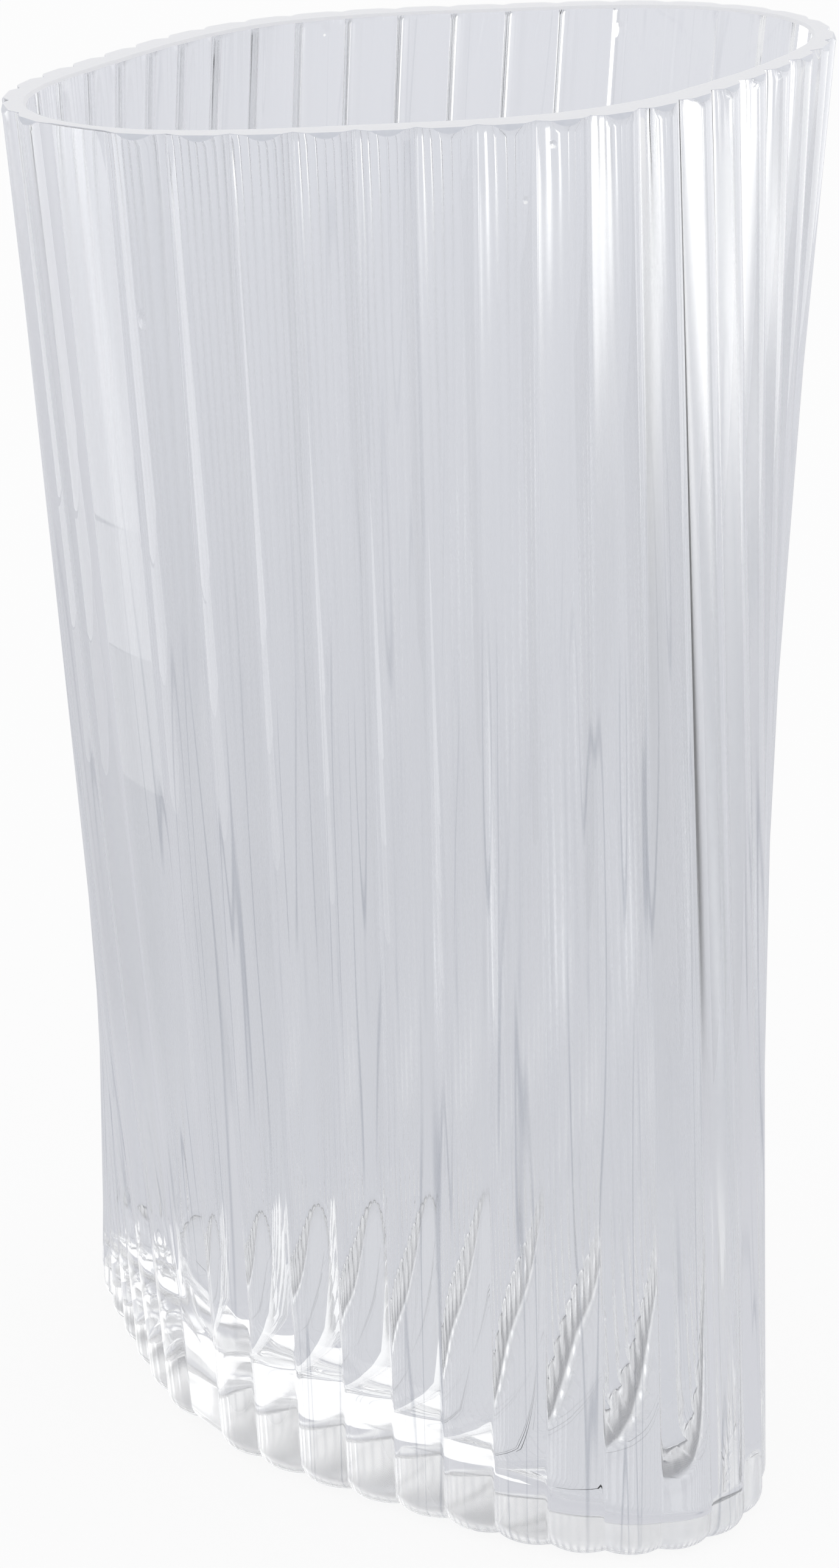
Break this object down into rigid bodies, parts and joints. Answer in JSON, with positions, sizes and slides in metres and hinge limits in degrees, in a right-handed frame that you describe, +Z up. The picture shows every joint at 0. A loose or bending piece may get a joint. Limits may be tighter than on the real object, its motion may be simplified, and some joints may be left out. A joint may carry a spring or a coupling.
{
  "type": "fan vase",
  "caption": "Tall clear glass vase with straight flutes, pressed to a pointed oval one way at the foot and the other way at the rim, so that it fans out both ways.",
  "frame": {"origin": "centre of the foot, on the surface that the vase stands on", "axes": "+Z up the vase, X along the rim's long way, Y along the foot's long way"},
  "size_m": [0.1664, 0.1682, 0.25],
  "materials": {
    "clear_glass": "polished clear glass with a faint cool tint",
    "ground_glass": "ground flat and polished back to clear"
  },
  "bodies": {
    "root": {"foot": "clear_glass", "fluted_wall": "clear_glass", "ground_lip": "ground_glass"}
  },
  "joints": []
}
